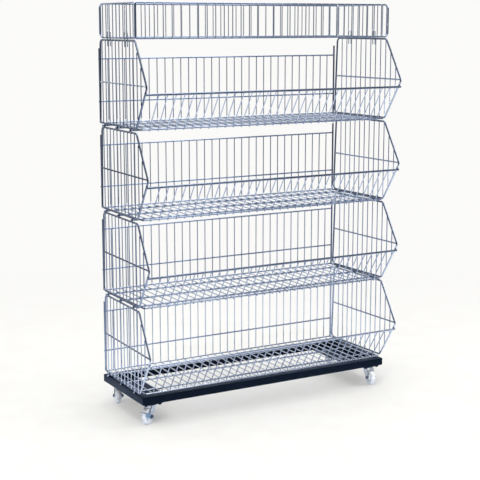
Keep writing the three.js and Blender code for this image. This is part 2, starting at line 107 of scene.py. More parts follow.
bendSteps = 9  # points round each bend


# Path through corners with each inner corner rounded: the arc is
# centre + (sin((1-k)f) u + sin(k f) v) / sin f, k from 0 to 1, with f the angle it turns through
# and u and v from its centre to its two ends
def bentPath(corners, bends, closed=False):
    corners = np.asarray(corners, float)
    count = len(corners)
    bends = np.broadcast_to(bends, count)
    k = np.linspace(0, 1, bendSteps)[:, None]
    runs = []
    for i in range(count):
        if not closed and i in (0, count - 1):
            runs.append(corners[i][None])
            continue
        back = unit(corners[i - 1] - corners[i])
        on = unit(corners[(i + 1) % count] - corners[i])
        half, bend = math.acos(np.clip(back @ on, -1, 1)) / 2, bends[i]
        centre = corners[i] + unit(back + on) * bend / math.sin(half)
        u = corners[i] + back * bend / math.tan(half) - centre
        v = corners[i] + on * bend / math.tan(half) - centre
        sweep = math.pi - 2 * half
        runs.append(centre + (np.sin((1 - k) * sweep) * u + np.sin(k * sweep) * v) / math.sin(sweep))
    return np.concatenate(runs)


# Tones along a bent loop: round corner i the tone runs evenly from stop i to stop i + 1
def bendTones(stops):
    return np.linspace(stops[:-1], stops[1:], bendSteps, axis=1).ravel()


cutEnd = dict(ease=0.3, width=0.7)  # in radii: how long and how wide an eased end is


# Round wire along a flat path: point(s, t) = path(s) + radius * (cos t * normal + sin t * side(s)),
# side = tangent x normal, stretched at a corner. A cut end is eased by a smaller last ring.
# tone is one value or one for each path point.
def roundWire(path, radius, normal, sides, closed=False, tone=0.0):
    path = np.asarray(path, float)
    step = unit(np.roll(path, -1, 0) - path)
    leave, arrive = step.copy(), np.roll(step, 1, 0)
    if not closed:
        leave[-1], arrive[0] = arrive[-1], leave[0]
    tangent = unit(leave + arrive)
    stretch = 1 / np.sum(tangent * leave, -1)
    widths = np.full(len(path), radius)
    tones = np.full(len(path), tone, float)
    if not closed:
        ease, small = cutEnd["ease"] * radius * tangent, cutEnd["width"] * radius
        starts, ends = [path[:1], path[:1] + ease[:1]], [path[-1:] - ease[-1:], path[-1:]]
        path = np.concatenate([*starts, path[1:-1], *ends])
        tangent, stretch, tones = (np.concatenate([v[:1], v, v[-1:]]) for v in (tangent, stretch, tones))
        widths = np.concatenate([[small], widths, [small]])
    side = np.cross(tangent, normal) * stretch[:, None]
    t = np.arange(sides) * 2 * math.pi / sides
    ring = np.cos(t)[:, None] * normal + np.sin(t)[:, None] * side[:, None]
    rings = path[:, None] + widths[:, None, None] * ring
    ringTones = np.repeat(tones, sides)
    if closed:
        return rings.reshape(-1, 3), ringQuads(len(path), sides, closed=True), noTris, ringTones
    points, quads, tris, _ = poledRings(rings, path[0], path[-1])
    return points, quads, tris, np.append(ringTones, tones[[0, -1]])


weldMesh = dict(sides=7, levels=(0.24, 0.5, 0.76))  # rings as shares of the way from pole to pole


# Weld spots: ellipsoids, point(u, v) = centre + a cos u sin v * first + b sin u sin v * second
# + c cos v * third
def weldSpots(centres, first, second, sizes):
    first, second = unit(first), unit(second)
    third = np.cross(first, second)
    u = np.arange(weldMesh["sides"]) * 2 * math.pi / weldMesh["sides"]
    v = np.array(weldMesh["levels"])[:, None, None] * math.pi
    a, b, c = sizes
    around = a * np.cos(u)[:, None] * first + b * np.sin(u)[:, None] * second
    rings = np.sin(v) * around + c * np.cos(v) * third
    spot = poledRings(rings[::-1], -c * third, c * third, 1.0)
    return repeated(spot, np.atleast_2d(centres))


# Turned solid: point(s, t) = origin + height(s) * axis + radius(s) * (cos t * across + sin t * up)
def turned(profile, origin, axis, across, sides, closed=False):
    profile = np.asarray(profile, float)
    axis, across = unit(axis), unit(across)
    up = np.cross(axis, across)
    t = np.arange(sides) * 2 * math.pi / sides
    around = np.cos(t)[:, None] * across + np.sin(t)[:, None] * up
    middles = np.asarray(origin, float) + profile[:, 1:] * axis
    rings = middles[:, None] + profile[:, None, :1] * around
    if closed:
        points = rings.reshape(-1, 3)
        return points, ringQuads(len(profile), sides, closed=True), noTris, np.zeros(len(points))
    return poledRings(rings, middles[0], middles[-1])


# Flat plate with eased edges: rings of one outline, shrunk towards its middle by the ease at both faces
def plate(outline, thickness, origin, across, up, ease=0.5):
    outline = np.asarray(outline, float)
    across, up = unit(across), unit(up)
    normal = np.cross(across, up)
    middle = outline.mean(0)
    inner = outline + unit(middle - outline) * ease
    levels = [(inner, 0.0), (outline, ease), (outline, thickness - ease), (inner, thickness)]
    rings = np.stack([origin + o[:, :1] * across + o[:, 1:] * up + z * normal for o, z in levels])
    first = origin + middle[0] * across + middle[1] * up
    return poledRings(rings, first, first + thickness * normal)


# Outline of a rectangle with round corners: centre of the corner + radius (cos t, sin t)
def roundedRectangle(width, height, radius, steps=5):
    signs = np.array([(1, 1), (-1, 1), (-1, -1), (1, -1)])
    centres = signs * [width / 2 - radius, height / 2 - radius]
    t = np.linspace(0, math.pi / 2, steps) + np.arange(4)[:, None] * math.pi / 2
    return (centres[:, None] + radius * np.stack([np.cos(t), np.sin(t)], -1)).reshape(-1, 2)


# Corners of a hexagon: radius (cos t, sin t)
def hexagon(radius):
    t = np.arange(6) * math.pi / 3
    return radius * np.stack([np.cos(t), np.sin(t)], -1)


def makePiece(name, shapes, body, nodes, material, crease=42):
    points, quads, tris, tones = joined(shapes)
    mesh = bpy.data.meshes.new(name)
    mesh.from_pydata((points / 1000).tolist(), [], quads.tolist() + tris.tolist())
    # The tones become this attribute: welds and dirt, with painted shade and painted highlight
    weld = mesh.attributes.new("weldDirtAndPaintedLight", "FLOAT", "POINT")
    weld.data.foreach_set("value", tones.astype(np.float32))
    mesh.polygons.foreach_set("use_smooth", np.ones(len(mesh.polygons), bool))
    mesh.set_sharp_from_angle(angle=math.radians(crease))
    mesh.update()
    piece = bpy.data.objects.new(name, mesh)
    bpy.context.scene.collection.objects.link(piece)
    piece.data.materials.append(material)
    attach(piece, body)
    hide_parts(*nodes)


# Shared effects

def feed(tree, socket, value):
    if isinstance(value, bpy.types.NodeSocket):
        tree.links.new(value, socket)
    else:
        socket.default_value = value


# Each setting is an input, given as a value or as the socket that feeds it, or a property of the node
def addNode(tree, kind, **settings):
    node = tree.nodes.new(kind)
    for key, value in settings.items():
        if key in node.inputs:
            feed(tree, node.inputs[key], value)
        else:
            setattr(node, key, value)
    return node


def maths(tree, operation, *values, kind="ShaderNodeMath", result="Value", **settings):
    node = addNode(tree, kind, operation=operation, **settings)
    for socket, value in zip(node.inputs, values):
        feed(tree, socket, value)
    return node.outputs[result]


def vectorMaths(tree, operation, *values, result="Value"):
    return maths(tree, operation, *values, kind="ShaderNodeVectorMath", result=result)


# The span from start to end becomes low to high, cut off outside it and eased at its ends where smooth
def remap(tree, value, start, end, low=0.0, high=1.0, smooth=False):
    node = addNode(tree, "ShaderNodeMapRange", interpolation_type="SMOOTHSTEP" if smooth else "LINEAR")
    settings = {"Value": value, "From Min": start, "From Max": end, "To Min": low, "To Max": high}
    for name, setting in settings.items():
        feed(tree, node.inputs[name], setting)
    return node.outputs["Result"]


# Group that puts out one mask
def newGroup(name, **inputs):
    group = bpy.data.node_groups.new(name, "ShaderNodeTree")
    for label, value in inputs.items():
        socket = group.interface.new_socket(name=label, in_out="INPUT", socket_type="NodeSocketFloat")
        socket.default_value = value
    group.interface.new_socket(name="Mask", in_out="OUTPUT", socket_type="NodeSocketFloat")
    given = group.nodes.new("NodeGroupInput").outputs
    mask = group.nodes.new("NodeGroupOutput").inputs["Mask"]
    return group, given, mask


# Noise on object coordinates, put out as a 0 to 1 mask
def makeMottleGroup():
    group, given, mask = newGroup("mottle", Size=20.0, Detail=4.0, Low=0.35, High=0.65)
    place = addNode(group, "ShaderNodeTexCoord").outputs["Object"]
    noise = addNode(group, "ShaderNodeTexNoise", Vector=place, Scale=given["Size"], Detail=given["Detail"])
    feed(group, mask, remap(group, noise.outputs["Fac"], given["Low"], given["High"]))
    return group


dustSpread = dict(upward=(0.5, 1.0), patches=(0.38, 0.7), detail=5.0)


# Dust that settles on faces that look up: normal's z, broken up by noise
def makeDustGroup(look):
    group, given, mask = newGroup("settledDust", Size=60.0, Amount=0.3)
    place = addNode(group, "ShaderNodeTexCoord").outputs["Object"]
    noise = addNode(group, "ShaderNodeTexNoise", Vector=place, Scale=given["Size"], Detail=look["detail"])
    facing = addNode(group, "ShaderNodeNewGeometry").outputs["Normal"]
    normalZ = addNode(group, "ShaderNodeSeparateXYZ", Vector=facing).outputs["Z"]
    upward = remap(group, normalZ, *look["upward"])
    broken = remap(group, noise.outputs["Fac"], *look["patches"])
    both = maths(group, "MULTIPLY", upward, broken)
    feed(group, mask, maths(group, "MULTIPLY", both, given["Amount"]))
    return group


mottleGroup = makeMottleGroup()
dustGroup = makeDustGroup(dustSpread)


def newMaterial(name):
    material = bpy.data.materials.new(name)
    material.use_nodes = True
    tree = material.node_tree
    return material, tree, tree.nodes["Principled BSDF"]


def placeGroup(tree, group, **values):
    node = tree.nodes.new("ShaderNodeGroup")
    node.node_tree = group
    for key, value in values.items():
        node.inputs[key].default_value = value
    return node.outputs["Mask"]


# first where the mask is 0, second where it is 1; each is a colour or a socket
def mixColours(tree, mask, first, second):
    mix = addNode(tree, "ShaderNodeMix", data_type="RGBA", Factor=mask)
    for name, value in (("A", first), ("B", second)):
        socket = [s for s in mix.inputs if s.name == name and s.type == "RGBA"][0]
        feed(tree, socket, (*value, 1) if isinstance(value, tuple) else value)
    return [s for s in mix.outputs if s.type == "RGBA"][0]


bumpDepth = 0.0002  # metres


def addBump(tree, shader, height, strength):
    bump = addNode(tree, "ShaderNodeBump", Strength=strength, Distance=bumpDepth, Height=height)
    tree.links.new(bump.outputs["Normal"], shader.inputs["Normal"])


# The darkest colour is for welds and for painted shade on wires; the palest is a painted highlight
chromeLook = dict(
    bright=(0.455, 0.52, 0.655), deep=(0.355, 0.415, 0.535),
    welded=(0.115, 0.145, 0.21), paintedHighlight=(0.86, 0.90, 0.97),
    rough=(0.08, 0.18), weldRough=0.1, ripple=0.12,
)
clipFinish = dict(chromeLook, bright=(0.86, 0.88, 0.92), deep=(0.74, 0.77, 0.82))


def makeChrome(name, look):
    material, tree, shader = newMaterial(name)
    clouds = placeGroup(tree, mottleGroup, Size=9.0, Detail=3.0)
    smear = placeGroup(tree, mottleGroup, Size=150.0, Detail=5.0, Low=0.3, High=0.75)
    ripple = placeGroup(tree, mottleGroup, Size=800.0, Detail=2.0, Low=0.2, High=0.8)
    tone = addNode(tree, "ShaderNodeAttribute", attribute_name="weldDirtAndPaintedLight").outputs["Fac"]
    # Tones above 0 mix in the dark colour, for welds and painted shade; tones below 0 mix in the pale one,
    # a painted highlight
    dark, paintedHighlight = remap(tree, tone, 0, 1), remap(tree, tone, 0, -1)
    base = mixColours(tree, clouds, look["bright"], look["deep"])
    base = mixColours(tree, paintedHighlight, base, look["paintedHighlight"])
    base = mixColours(tree, dark, base, look["welded"])
    tree.links.new(base, shader.inputs["Base Color"])
    shine = remap(tree, smear, 0, 1, *look["rough"])
    tree.links.new(maths(tree, "MULTIPLY_ADD", dark, look["weldRough"], shine), shader.inputs["Roughness"])
    shader.inputs["Metallic"].default_value = 1
    addBump(tree, shader, ripple, look["ripple"])
    return material


coatLook = dict(
    coat=(0.0006, 0.0022, 0.0068), faded=(0.0020, 0.0044, 0.0105), dust=(0.05, 0.056, 0.066),
    rough=(0.32, 0.44), peel=0.2, specular=0.09, specularTint=(0.62, 0.8, 1.0),
    sheen=0.13, sheenRough=0.5, sheenTint=(0.2, 0.48, 1.0),
)


def makeCoat(look):
    material, tree, shader = newMaterial("blackPowderCoat")
    clouds = placeGroup(tree, mottleGroup, Size=14.0, Detail=4.0)
    peel = placeGroup(tree, mottleGroup, Size=520.0, Detail=2.0, Low=0.25, High=0.75)
    dust = placeGroup(tree, dustGroup, Size=45.0, Amount=0.1)
    base = mixColours(tree, clouds, look["coat"], look["faded"])
    base = mixColours(tree, dust, base, look["dust"])
    tree.links.new(base, shader.inputs["Base Color"])
    tree.links.new(remap(tree, clouds, 0, 1, *look["rough"]), shader.inputs["Roughness"])
    shader.inputs["Specular IOR Level"].default_value = look["specular"]
    shader.inputs["Specular Tint"].default_value = (*look["specularTint"], 1)
    shader.inputs["Sheen Weight"].default_value = look["sheen"]
    shader.inputs["Sheen Roughness"].default_value = look["sheenRough"]
    shader.inputs["Sheen Tint"].default_value = (*look["sheenTint"], 1)
    addBump(tree, shader, peel, look["peel"])
    return material


zincLook = dict(bright=(0.88, 0.915, 0.955), grey=(0.70, 0.755, 0.825), rough=(0.26, 0.42), grain=0.1)
brakeFinish = dict(zincLook, bright=(0.40, 0.56, 0.74), grey=(0.30, 0.44, 0.60))  # blue passivated


def makeZinc(name, look):
    material, tree, shader = newMaterial(name)
    spangle = placeGroup(tree, mottleGroup, Size=190.0, Detail=3.0, Low=0.38, High=0.62)
    fine = placeGroup(tree, mottleGroup, Size=900.0, Detail=2.0)
    tree.links.new(mixColours(tree, spangle, look["bright"], look["grey"]), shader.inputs["Base Color"])
    tree.links.new(remap(tree, spangle, 0, 1, *look["rough"]), shader.inputs["Roughness"])
    shader.inputs["Metallic"].default_value = 1
    addBump(tree, shader, fine, look["grain"])
    return material


# The darker colour is tread dirt, and painted shade in the wheel's dish
nylonLook = dict(clean=(0.90, 0.92, 0.945), dirtAndShadeColour=(0.50, 0.49, 0.47), rough=(0.36, 0.52), grain=0.12)


def makeNylon(look):
    material, tree, shader = newMaterial("whiteNylon")
    clouds = placeGroup(tree, mottleGroup, Size=70.0, Detail=4.0, Low=0.42, High=0.75)
    fine = placeGroup(tree, mottleGroup, Size=600.0, Detail=3.0)
    # The tone is dirt on the tread and painted shade in the dish, mottled by clouds
    dirtAndShadeTone = addNode(tree, "ShaderNodeAttribute", attribute_name="weldDirtAndPaintedLight").outputs["Fac"]
    mottledDirtAndShade = maths(tree, "MULTIPLY", clouds, dirtAndShadeTone)
    tree.links.new(mixColours(tree, mottledDirtAndShade, look["clean"], look["dirtAndShadeColour"]), shader.inputs["Base Color"])
    tree.links.new(remap(tree, clouds, 0, 1, *look["rough"]), shader.inputs["Roughness"])
    addBump(tree, shader, fine, look["grain"])
    return material


steelLook = dict(oiled=(0.20, 0.235, 0.30), rubbed=(0.33, 0.365, 0.43), rough=(0.28, 0.42))


def makeSteel(look):
    material, tree, shader = newMaterial("oiledSteel")
    clouds = placeGroup(tree, mottleGroup, Size=260.0, Detail=4.0)
    tree.links.new(mixColours(tree, clouds, look["oiled"], look["rubbed"]), shader.inputs["Base Color"])
    tree.links.new(remap(tree, clouds, 0, 1, *look["rough"]), shader.inputs["Roughness"])
    shader.inputs["Metallic"].default_value = 1
    return material


chrome = makeChrome("chromePlate", chromeLook)
clipChrome = makeChrome("clipPlate", clipFinish)
coat = makeCoat(coatLook)
zinc = makeZinc("brightZinc", zincLook)
blueZinc = makeZinc("blueZinc", brakeFinish)
nylon = makeNylon(nylonLook)
steel = makeSteel(steelLook)
print("finishes made")

# Baskets

wires = dict(thick=3.0, medium=2.5, thin=1.7, rail=3.4, loop=2.5, clip=1.6)  # radii
wireSides = dict(thick=14, medium=12, thin=8, rail=14, loop=14, clip=12)
sink = 0.5  # how far crossing wires press together
basket = dict(
    supportZ=3.157, floorZ=7.643, sideBottomZ=9.613, sideTopZ=265.701,
    sideRear=6.456, sideLean=11.0, sideReach=287.5, noseDepth=80.5, noseZ=134.0,
    halfRear=442.5, flare=10.0, bend=14.0, backHalf=440.0, columns=30, lipOffset=6.898,
)
noseReach = basket["sideReach"] + basket["noseDepth"]
upSlope = (basket["noseZ"] - basket["sideBottomZ"]) / basket["noseDepth"]
downSlope = (basket["sideTopZ"] - basket["noseZ"]) / basket["noseDepth"]
splay = math.atan(basket["flare"] / (noseReach - basket["sideRear"]))
slant = unit([1.0, upSlope])  # up the front lip, as reach and z
slantOut = np.array([slant[1], -slant[0]])
columns = np.linspace(-basket["backHalf"], basket["backHalf"], basket["columns"] + 2)[1:-1]
columnSteps = columns[:, None] * alongX


def wire(kind, path, normal, tone=0.0, closed=False):
    return roundWire(path, wires[kind], normal, wireSides[kind], closed, tone)


# Straight wire across the basket, from -half to half
def acrossWire(kind, half, reach, z, normal, tone=0.0):
    return wire(kind, [at(-half, reach, z), at(half, reach, z)], normal, tone)


# The front lip lies in front of the sides' lower slant, lipOffset square to it
def lipReach(z):
    offset = basket["lipOffset"] * slantOut
    along = (z - basket["sideBottomZ"] - offset[1]) / slant[1]
    return basket["sideReach"] + along * slant[0] + offset[0]


# The sides splay out to the front
def sideX(reach):
    return basket["halfRear"] + (reach - basket["sideRear"]) * math.tan(splay)


def sideNormal(side):
    return np.array([side * math.cos(splay), math.sin(splay), 0.0])


# Painted shade (above 0, darker) and painted highlight (below 0, paler) on each tier's wires.
# Pairs are left and right.
paintedLightTones = dict(
    tier1=dict(
        upright=-0.3, sides=(-0.3, -0.4), floor=-0.6, rod=-0.1, support=-0.4, rail=-0.4,
        post=0.0, frame=0.7, toes=(-0.6, -0.7), brace=(0.8, 0.3),
    ),
    tier2=dict(
        upright=-0.2, sides=(-0.2, -0.4), floor=-0.1, rod=1.0, support=0.1, rail=0.5,
        post=0.5, frame=1.0, toes=(0.1, -0.5), brace=(1.0, 0.5),
    ),
    tier3=dict(
        upright=-0.4, sides=(-0.35, -0.8), floor=-0.1, rod=1.0, support=0.3, rail=0.55,
        post=0.7, frame=1.0, toes=(0.4, -0.4), brace=(1.0, 0.3),
    ),
    tier4=dict(
        upright=-0.5, sides=(-0.4, -1.0), floor=0.0, rod=0.9, support=0.45, rail=0.55,
        post=0.7, frame=1.0, toes=(0.6, -0.4), brace=(-0.7, 0.3),
    ),
)

# Here and below, a weld or a spot is given as the three half sizes of an ellipsoid
backLook = dict(
    topZ=207.0, midZ=74.5, midOverhang=3.0, footBend=9.6, footSteps=8, postTop=240.0, postFoot=2.0,
    postWeld=(4.2, 3.2, 3.2), midWeld=(3.6, 3.2, 2.2), midWeldIn=1.6,
    footWeld=(3.8, 3.4, 2.4), footWeldZ=2.5,
    topSpot=(2.3, 1.7, 2.1), topSpotDrop=2.2, midSpot=(2.1, 2.3, 1.3), midSpotIn=2.2,
)


# Back: each upright turns a quarter circle into the floor,
# foot(f) = (bend (1 - cos f), floor + bend (1 - sin f)), f from 0 to a right angle
def backWires(look, tone):
    half, floorZ, bend = basket["backHalf"], basket["floorZ"], look["footBend"]
    topZ, midZ = look["topZ"], look["midZ"]
    midReach = sink - wires["thin"] - wires["medium"]
    f = np.linspace(0, math.pi / 2, look["footSteps"])
    foot = at(0, bend * (1 - np.cos(f)), floorZ + bend * (1 - np.sin(f)))
    upright = np.concatenate([at(0, 0, topZ)[None], foot])
    shapes = [
        repeated(wire("thin", upright, alongX, tone["upright"]), columnSteps),
        acrossWire("medium", half, 0, topZ, alongY),
        acrossWire("medium", half + look["midOverhang"], midReach, midZ, alongY),
    ]
    for x in (-half, half):
        post = [at(x, 0, floorZ + look["postFoot"]), at(x, 0, look["postTop"])]
        shapes.append(wire("thick", post, alongY, tone["post"]))
        shapes.append(weldSpots(at(x, 0, topZ), alongX, alongZ, look["postWeld"]))
        spot = at(x, midReach + look["midWeldIn"], midZ)
        shapes.append(weldSpots(spot, alongX, alongZ, look["midWeld"]))
        spot = at(x, 0, floorZ + look["footWeldZ"])
        shapes.append(weldSpots(spot, alongX, alongY, look["footWeld"]))
    spots = at(columns, 0, topZ - look["topSpotDrop"])
    shapes.append(weldSpots(spots, alongX, alongZ, look["topSpot"]))
    spots = at(columns, midReach + look["midSpotIn"], midZ)
    shapes.append(weldSpots(spots, alongX, alongZ, look["midSpot"]))
    return shapes


floorLook = dict(
    supports=(44.0, 145.0, 246.0), supportHalf=454.0, rodX=436.593, barOverhang=2.0,
    cornerWeld=(3.3, 3.3, 2.7), rodWeld=(2.9, 3.3, 1.8), rodWeldDrop=2.4,
    standWeld=(3.0, 2.6, 1.5), standRise=3.2,
    crossSpot=(2.0, 2.4, 1.1), crossSpotDrop=1.4, frontSpot=(2.1, 1.6, 1.9), frontSpotIn=2.3,
)


# Floor: runners from the uprights' feet to the front bar, a rod at each end, supports across below
def floorWires(look, tone):
    floorZ, supportZ, rodX = basket["floorZ"], basket["supportZ"], look["rodX"]
    start, front = backLook["footBend"], lipReach(floorZ)
    runner = wire("thin", [at(0, start, floorZ), at(0, front, floorZ)], alongX, tone["floor"])
    shapes = [repeated(runner, columnSteps)]
    barHalf = rodX + look["barOverhang"]
    for reach in (0.0, front):
        shapes.append(acrossWire("medium", barHalf, reach, floorZ, alongZ, tone["floor"]))
    for x in (-rodX, rodX):
        shapes.append(wire("medium", [at(x, 0, floorZ), at(x, front, floorZ)], alongZ, tone["rod"]))
        shapes.append(weldSpots(at(x, [0.0, front], floorZ), alongX, alongY, look["cornerWeld"]))
        spots = at(x, look["supports"], floorZ - look["rodWeldDrop"])
        shapes.append(weldSpots(spots, alongX, alongY, look["rodWeld"]))
    for reach in look["supports"]:
        shapes.append(acrossWire("thick", look["supportHalf"], reach, supportZ, alongZ, tone["support"]))
        spots = at(columns, reach, floorZ - look["crossSpotDrop"])
        shapes.append(weldSpots(spots, alongX, alongY, look["crossSpot"]))
        for side in (-1, 1):  # where the side frame stands on the support
            spot = at(side * sideX(reach), reach, supportZ + look["standRise"])
            shapes.append(weldSpots(spot, alongX, alongY, look["standWeld"]))
    spots = at(columns, front - look["frontSpotIn"], floorZ)
    shapes.append(weldSpots(spots, alongX, alongY, look["frontSpot"]))
    return shapes


lipLook = dict(
    railZ=113.5, railOverhang=3.457,
    hookStart=14.0, hookTurn=115.0, hookPress=0.2, easeSteps=6, hookSteps=7,
    railSpot=(2.3, 1.8, 2.1), railSpotDrop=2.6, endWeld=(4.4, 4.2, 2.6), endWeldIn=3.3,
)


# A lip wire runs down from the rail, eases out over hookStart and hooks round the floor's front bar:
# run(k) = bar + hookStart (1 - k) * up + curl (3 k^2 - 2 k^3) * out,
# hook(f) = bar + curl (cos f * out - sin f * up), up and out along and square to the slant
def lipWires(look, tone):
    bar = np.array([lipReach(basket["floorZ"]), basket["floorZ"]])
    rail = np.array([lipReach(look["railZ"]), look["railZ"]])
    curl = wires["medium"] + wires["thin"] - look["hookPress"]
    k = np.linspace(0, 1, look["easeSteps"])[:-1, None]
    run = bar + look["hookStart"] * (1 - k) * slant + curl * (3 * k**2 - 2 * k**3) * slantOut
    f = np.radians(np.linspace(0, look["hookTurn"], look["hookSteps"]))[:, None]
    hook = bar + curl * (np.cos(f) * slantOut - np.sin(f) * slant)
    path = np.concatenate([rail[None], run, hook])
    lipWire = wire("thin", at(0, path[:, 0], path[:, 1]), alongX, tone["upright"])
    along = at(0, *slant) - at(0, 0, 0)
    under = rail - look["railSpotDrop"] * slant
    shapes = [
        repeated(lipWire, columnSteps),
        acrossWire("rail", sideX(rail[0]) + look["railOverhang"], *rail, alongZ, tone["rail"]),
        weldSpots(at(columns, *under), alongX, along, look["railSpot"]),
    ]
    touch = rail - look["endWeldIn"] * slantOut
    for side in (-1, 1):  # rail welded across the side frame's slant
        shapes.append(weldSpots(at(side * sideX(touch[0]), *touch), alongX, along, look["endWeld"]))
    return shapes


sideLook = dict(
    count=12, pitch=26.75, lap=1.2, longZ=137.0, longShort=4.5, leastPost=0.3, noseShare=0.6,
    endSpot=(1.3, 2.1, 2.1), endSpotIn=1.6, longWeld=(2.4, 3.0, 3.0), longWeldIn=(2.4, -0.5),
    crossSpot=(1.0, 1.9, 2.4), crossSpotOut=2.2, crossClear=4.0,
)


# Side: a bent frame with five corners, uprights outside it and a long wire inside them, in a plane that
# splays out to the front: point = (side * sideX(reach), reach, z) + out * normal
def sideWires(look, side, tone):
    normal = sideNormal(side)
    hand = int(side > 0)

    def onSide(reach, z, out=0.0):
        return at(side * sideX(np.asarray(reach, float)), reach, z) + out * normal

    low, high, longZ = basket["sideBottomZ"], basket["sideTopZ"], look["longZ"]
    rear, lean, reach = basket["sideRear"], basket["sideLean"], basket["sideReach"]
    corners = onSide([rear, reach, noseReach, reach, rear + lean], [low, low, basket["noseZ"], high, high])
    # Painted shade on the frame's posts and edges, less at the nose; the lower slant (toes) is mostly a
    # painted highlight
    post, edge, toe = max(tone["post"], look["leastPost"]), tone["frame"], tone["toes"][hand]
    stops = [post, edge, toe, look["noseShare"] * edge, edge, post]  # round the frame from its rear foot
    loop = bentPath(corners, basket["bend"], closed=True)
    shapes = [wire("thick", loop, normal, bendTones(stops), closed=True)]
    out = wires["thick"] + wires["thin"] - 2 * sink
    reaches = (rear + noseReach) / 2 + (np.arange(look["count"]) - (look["count"] - 1) / 2) * look["pitch"]
    feet = low + np.maximum(0, reaches - reach) * upSlope
    heads = high - np.maximum(0, reaches - reach) * downSlope
    for place, foot, head in zip(reaches, feet, heads):
        ends = onSide([place, place], [foot - look["lap"], head + look["lap"]], out)
        shapes.append(wire("thin", ends, normal, tone["sides"][hand]))
    for heights in (feet, heads):
        spots = onSide(reaches, heights, out - look["endSpotIn"])
        shapes.append(weldSpots(spots, normal, alongZ, look["endSpot"]))
    inner = out - wires["thin"] - wires["medium"] + sink
    rise = (longZ - low) / (high - low)
    ends = np.array([rear + rise * lean, noseReach - look["longShort"]])
    shapes.append(wire("medium", onSide(ends, longZ, inner), normal, tone["brace"][hand]))
    spots = onSide(ends + look["longWeldIn"], longZ, inner)
    shapes.append(weldSpots(spots, alongY, alongZ, look["longWeld"]))
    clear = look["crossClear"]
    crossed = reaches[(reaches > ends[0] + clear) & (reaches < ends[1] - clear)]
    spots = onSide(crossed, longZ, inner + look["crossSpotOut"])
    shapes.append(weldSpots(spots, normal, alongZ, look["crossSpot"]))
    return shapes


def makeBasket(tier, seat):
    tone = paintedLightTones[tier]
    grids = [
        ("back_wires", "back_panel", backWires(backLook, tone)),
        ("floor_wires", "floor_grid", floorWires(floorLook, tone)),
        ("lip_wires", "front_lip", lipWires(lipLook, tone)),
    ]
    for name, side in hands:
        grids.append((f"{name}_wires", f"{name}_panel", sideWires(sideLook, side, tone)))
    for label, node, shapes in grids:
        lifted = repeated(joined(shapes), [seat * alongZ])
        makePiece(f"{tier}_{label}", [lifted], tier, [f"{tier}_{node}"], chrome)


for tier, seat in seats.items():
    makeBasket(tier, seat)
print("baskets made")

# Guard round the top

guardLook = dict(
    height=102.0, rear=15.0, front=294.0, openBend=14.0, shutBend=4.0, longCount=30, endCount=9,
    footZ=3.599, clear=6.456, lap=1.2, railTone=0.2, spot=(2.1, 2.1, 1.3), spotIn=1.6,
)
# Painted shade (above 0) and painted highlight (below 0) on each panel:
# its post at the start, its post at the end, its uprights
guardPaintedLight = dict(
    front=(0.2, -0.6, -0.6), rear=(-1.0, -0.4, -1.0), left=(-0.6, 0.0, -0.45), right=(-1.0, -0.5, -1.0),
)


# A panel's loop is bent tightly at its start and widely at its end;
# upright i stands at start + (end - start) (i + 1) / (count + 1)
def guardPanel(look, start, end, normal, count, tone):
    tight, wide, railTone = look["shutBend"], look["openBend"], look["railTone"]
    raised = look["height"] * alongZ
    corners = [start, end, end + raised, start + raised]
    loop = bentPath(corners, [tight, wide, wide, tight], closed=True)
    first, last, upright = tone
    # Round the loop the tones are painted: the posts' as given, and railTone, a light painted shade, on the
    # rails
    stops = [first, railTone, last, railTone, first]
    share = (np.arange(count)[:, None] + 1) / (count + 1)
    feet = start + (end - start) * share
    out = wires["loop"] + wires["thin"] - 2 * sink
    lap = look["lap"] * alongZ
    post = wire("thin", [out * normal - lap, out * normal + raised + lap], normal, upright)
    shapes = [wire("loop", loop, normal, bendTones(stops), closed=True), repeated(post, feet)]
    for spots in (feet, feet + raised):
        shapes.append(weldSpots(spots + (out - look["spotIn"]) * normal, end - start, alongZ, look["spot"]))
    return shapes


clipLook = dict(rise=20.0, drop=26.0, bend=4.6, after=(2, 7))


# Inverted U over the guard's lower wire and the basket's top wire
def guardClip(look, foot, normal):
    out = (wires["thick"] + wires["clip"]) * normal
    rise, drop = look["rise"] * alongZ, look["drop"] * alongZ
    corners = [foot - out - drop, foot - out + rise, foot + out + rise, foot + out - drop]
    return [wire("clip", bentPath(corners, look["bend"]), np.cross(normal, alongZ))]


def makePanel(name, *where):
    shapes = guardPanel(guardLook, *where, guardPaintedLight[name])
    makePiece(f"guard_{name}_wires", shapes, "guard", [f"guard_{name}_panel"], chrome)


def makeGuard(look):
    z = topSeat + look["footZ"]
    for name, facing in (("front", -1), ("rear", 1)):
        x, reach = facing * sideX(look[name]), look[name]
        makePanel(name, at(x, reach, z), at(-x, reach, z), facing * alongY, look["longCount"])
    rear, front = look["rear"] + look["clear"], look["front"] - look["clear"]
    for name, side in hands:
        normal = sideNormal(side)
        start, end = at(side * sideX(rear), rear, z), at(side * sideX(front), front, z)
        ends = (end, start) if side < 0 else (start, end)
        makePanel(name, *ends, normal, look["endCount"])
        for place, after in zip(("rear", "front"), clipLook["after"]):
            share = (after + 0.5) / (look["endCount"] + 1)  # midway between two uprights
            foot = start + (end - start) * share
            node = f"guard_clip_{name}_{place}"
            shapes = guardClip(clipLook, foot, normal)
            makePiece(f"{node}_wire", shapes, "guard", [node], clipChrome)


makeGuard(guardLook)
print("guard made")

# Base

baseLook = dict(
    half=450.0, rear=7.0, front=303.0, tube=25.0, corner=2.6, bottomZ=65.0,
    topBead=0.9, topBeadSink=0.35, topBeadShort=1.4,
    edgeBead=1.3, edgeBeadSink=0.75, edgeBeadShort=1.5, beadSides=8,
    plateX=384.7, plateWide=80.0, plateThick=3.0, plateCorner=3.0, plateClear=0.6,
    seams=5, seamSpan=0.4, stitches=6, stitchSpan=10.0, stitch=(2.0, 3.0, 1.3), stitchRise=0.1,
)


